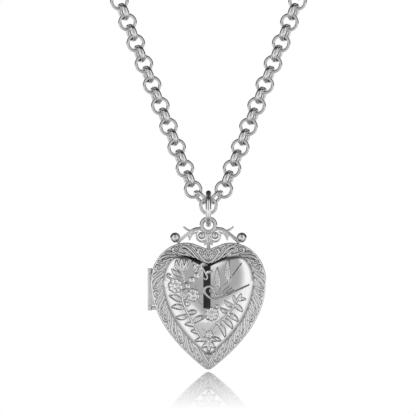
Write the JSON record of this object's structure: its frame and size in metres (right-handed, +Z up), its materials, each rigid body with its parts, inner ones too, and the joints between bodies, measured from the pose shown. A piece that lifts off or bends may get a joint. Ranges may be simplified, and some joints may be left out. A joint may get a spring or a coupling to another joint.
{
  "type": "locket",
  "caption": "Heart-shaped hinged locket with a puffed front, chased border and scrollwork crest, hung by a jump ring on a belcher chain",
  "frame": {"origin": "on top of the chain's lowest link, inside the top of the jump ring, in the plane that the crest, ring and chain are centred on", "axes": "+X to the right as seen from the front, +Y to the back, +Z up; the engraved front faces -Y"},
  "size_m": [0.0471, 0.0084, 0.0935],
  "materials": {
    "silver": "polished silver with a chased border and raised sprays",
    "bail_silver": "polished round silver wire",
    "chain_silver": "polished round silver wire",
    "steel": "drawn steel",
    "window": "clear thin sheet",
    "card": "plain blank card"
  },
  "bodies": {
    "chain": {"link_centre": "chain_silver", "link_left_01": "chain_silver", "link_left_02": "chain_silver", "link_left_03": "chain_silver", "link_left_04": "chain_silver", "link_left_05": "chain_silver", "link_left_06": "chain_silver", "link_left_07": "chain_silver", "link_left_08": "chain_silver", "link_left_09": "chain_silver", "link_left_10": "chain_silver", "link_left_11": "chain_silver", "link_left_12": "chain_silver", "link_left_13": "chain_silver", "link_left_14": "chain_silver", "link_left_15": "chain_silver", "link_left_16": "chain_silver", "link_left_17": "chain_silver", "link_left_18": "chain_silver", "link_left_19": "chain_silver", "link_left_20": "chain_silver", "link_right_01": "chain_silver", "link_right_02": "chain_silver", "link_right_03": "chain_silver", "link_right_04": "chain_silver", "link_right_05": "chain_silver", "link_right_06": "chain_silver", "link_right_07": "chain_silver", "link_right_08": "chain_silver", "link_right_09": "chain_silver", "link_right_10": "chain_silver", "link_right_11": "chain_silver", "link_right_12": "chain_silver", "link_right_13": "chain_silver", "link_right_14": "chain_silver", "link_right_15": "chain_silver", "link_right_16": "chain_silver", "link_right_17": "chain_silver", "link_right_18": "chain_silver", "link_right_19": "chain_silver", "link_right_20": "chain_silver", "clasp_body": "chain_silver", "end_ring": "chain_silver"},
    "bail_ring": {"jump_ring": "bail_silver"},
    "locket": {"back_cover": "silver", "back_bezel": "silver", "back_window": "window", "back_picture_card": "card", "hinge_knuckle_upper": "silver", "hinge_knuckle_lower": "silver", "hinge_pin": "steel", "snap_catch": "steel", "crest": "silver", "eyelet": "silver"},
    "cover": {"front_cover": "silver", "front_bezel": "silver", "front_window": "window", "front_picture_card": "card", "hinge_knuckle_middle": "silver"},
    "lever": {"clasp_lever": "chain_silver"}
  },
  "joints": [
    {"name": "ring_swing", "type": "hinge", "parent": "chain", "child": "bail_ring", "pos_m": [0, 0, -0.00036], "axis": [1, 0, 0], "range_deg": [-30, 12]},
    {"name": "locket_swing", "type": "hinge", "parent": "bail_ring", "child": "locket", "pos_m": [0, 0, -0.00625], "axis": [0, 1, 0], "range_deg": [-45, 45]},
    {"name": "cover_hinge", "type": "hinge", "parent": "locket", "child": "cover", "pos_m": [-0.01285, -0.0005, -0.0203], "axis": [0, 0, -1], "range_deg": [0, 170]},
    {"name": "clasp_lever_hinge", "type": "hinge", "parent": "chain", "child": "lever", "pos_m": [-0.0219, -0.00135, 0.04881], "axis": [-0.9311, 0, -0.3649], "range_deg": [0, 22], "stiffness_Nm_per_rad": 0.0002, "springref_deg": -11.46}
  ]
}
